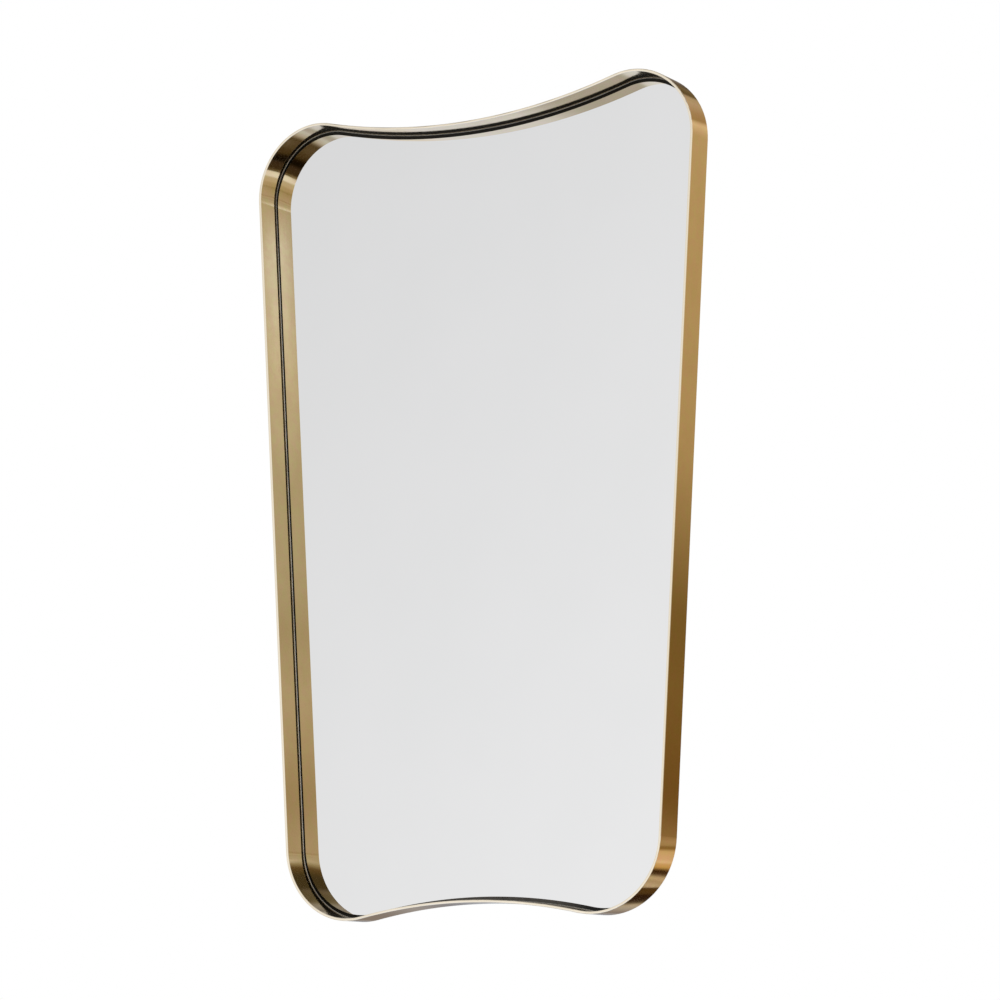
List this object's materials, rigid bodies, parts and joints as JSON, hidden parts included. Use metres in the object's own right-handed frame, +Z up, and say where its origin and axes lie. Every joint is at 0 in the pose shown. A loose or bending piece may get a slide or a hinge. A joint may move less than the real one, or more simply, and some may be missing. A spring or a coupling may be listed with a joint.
{
  "type": "irregular shaped mirror",
  "caption": "Tall wall mirror that tapers downwards, with rounded corners, inward-curving top and bottom edges, a deep brass band frame and swinging D-rings on its back.",
  "frame": {"origin": "middle of the back board's flat rear face, halfway up the mirror", "axes": "+Z up, +X to the right for someone facing the glass, +Y from the glass towards the wall"},
  "size_m": [0.629, 0.0502, 1],
  "materials": {
    "brass_band": "brushed flat sides, polished front edge",
    "brass_lug": "mill finish, brazed",
    "mirror_glass": "silvered, with painted back",
    "edge_seal": "black, semi-matt",
    "back_board": "fibreboard, painted dark grey",
    "foam_tape": "closed-cell foam with adhesive faces",
    "zinc_steel": "zinc plated",
    "ring_steel": "nickel plated wire",
    "bumper_rubber": "matt"
  },
  "bodies": {
    "mirror": {"band_frame": "brass_band", "mirror_glass": "mirror_glass", "edge_seal": "edge_seal", "back_board": "back_board", "foam_tape_1": "foam_tape", "foam_tape_2": "foam_tape", "foam_tape_3": "foam_tape", "foam_tape_4": "foam_tape", "frame_lug_1": "brass_lug", "frame_lug_2": "brass_lug", "frame_lug_3": "brass_lug", "frame_lug_4": "brass_lug", "frame_lug_5": "brass_lug", "frame_lug_6": "brass_lug", "frame_lug_7": "brass_lug", "frame_lug_8": "brass_lug", "lug_screw_1": "zinc_steel", "lug_screw_2": "zinc_steel", "lug_screw_3": "zinc_steel", "lug_screw_4": "zinc_steel", "lug_screw_5": "zinc_steel", "lug_screw_6": "zinc_steel", "lug_screw_7": "zinc_steel", "lug_screw_8": "zinc_steel", "hanger_strap_left": "zinc_steel", "hanger_strap_right": "zinc_steel", "hanger_screw_1": "zinc_steel", "hanger_screw_2": "zinc_steel", "hanger_screw_3": "zinc_steel", "hanger_screw_4": "zinc_steel", "wall_bumper_1": "bumper_rubber", "wall_bumper_2": "bumper_rubber", "wall_bumper_3": "bumper_rubber", "wall_bumper_4": "bumper_rubber"},
    "ring_left": {"d_ring_left": "ring_steel"},
    "ring_right": {"d_ring_right": "ring_steel"}
  },
  "joints": [
    {"name": "ring_left_swing", "type": "hinge", "parent": "mirror", "child": "ring_left", "pos_m": [-0.1902, 0.00295, 0.2997], "axis": [1, 0, 0], "range_deg": [0, 180]},
    {"name": "ring_right_swing", "type": "hinge", "parent": "mirror", "child": "ring_right", "pos_m": [0.1902, 0.00295, 0.2997], "axis": [1, 0, 0], "range_deg": [0, 180]}
  ]
}
